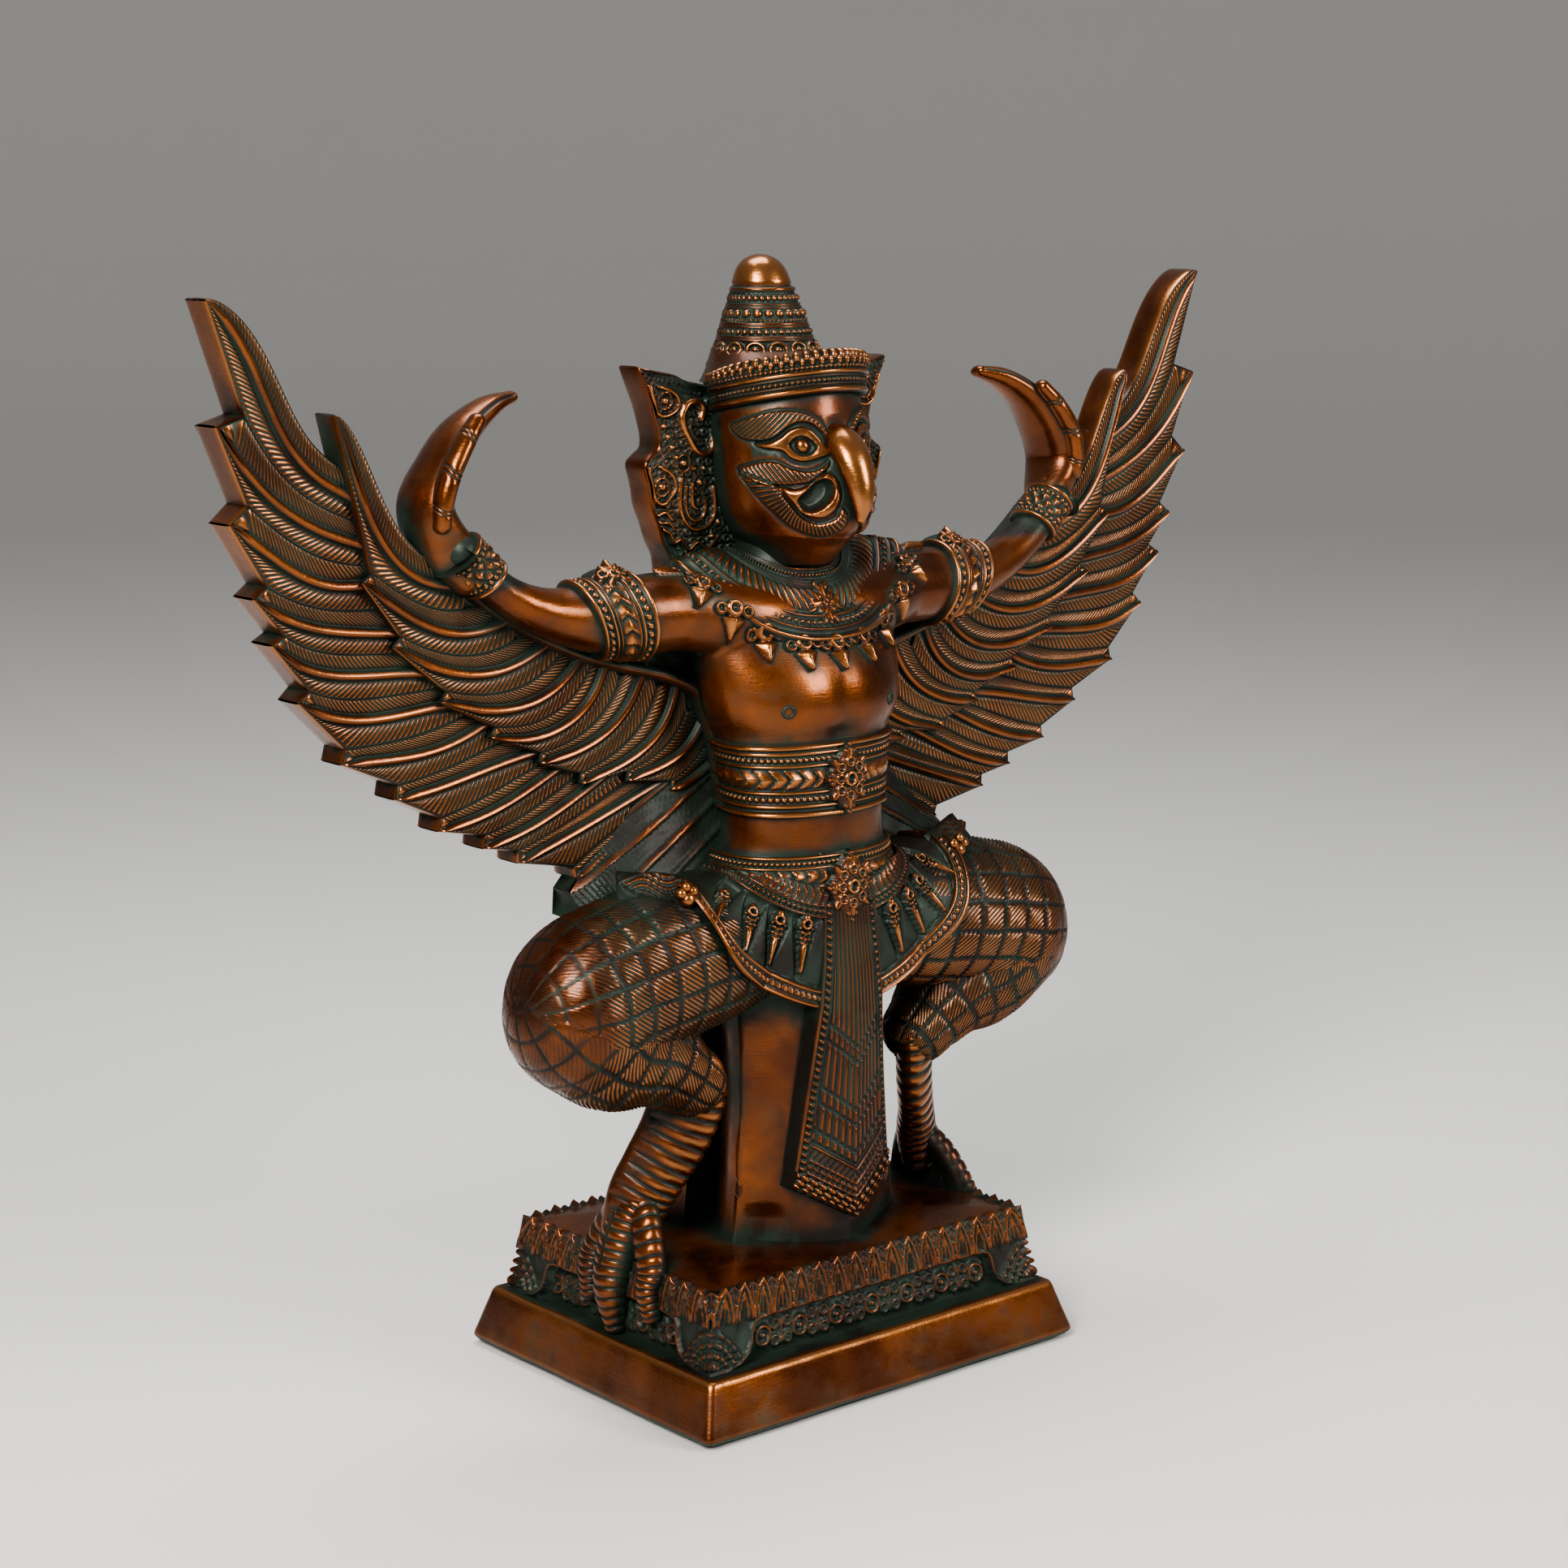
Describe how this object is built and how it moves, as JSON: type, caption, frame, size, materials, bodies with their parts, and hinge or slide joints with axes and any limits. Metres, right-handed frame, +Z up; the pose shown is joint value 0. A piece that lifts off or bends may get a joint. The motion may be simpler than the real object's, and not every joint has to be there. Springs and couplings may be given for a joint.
{
  "type": "garuda figure",
  "caption": "Cast brass figure of a crouching bird-headed guardian with raised hands and spread feathered wings, in one piece with a stepped oblong plinth.",
  "frame": {"origin": "middle of the plinth's underside, under the centre of the bounding box", "axes": "+Z up, +X across the spread wings, -Y the way the figure faces"},
  "size_m": [0.401, 0.127, 0.36],
  "materials": {
    "patinated_brass": "copper-brown patina, polished on the high parts, with green-black verdigris left in the recesses"
  },
  "bodies": {
    "root": {"garuda_casting": "patinated_brass"}
  },
  "joints": []
}
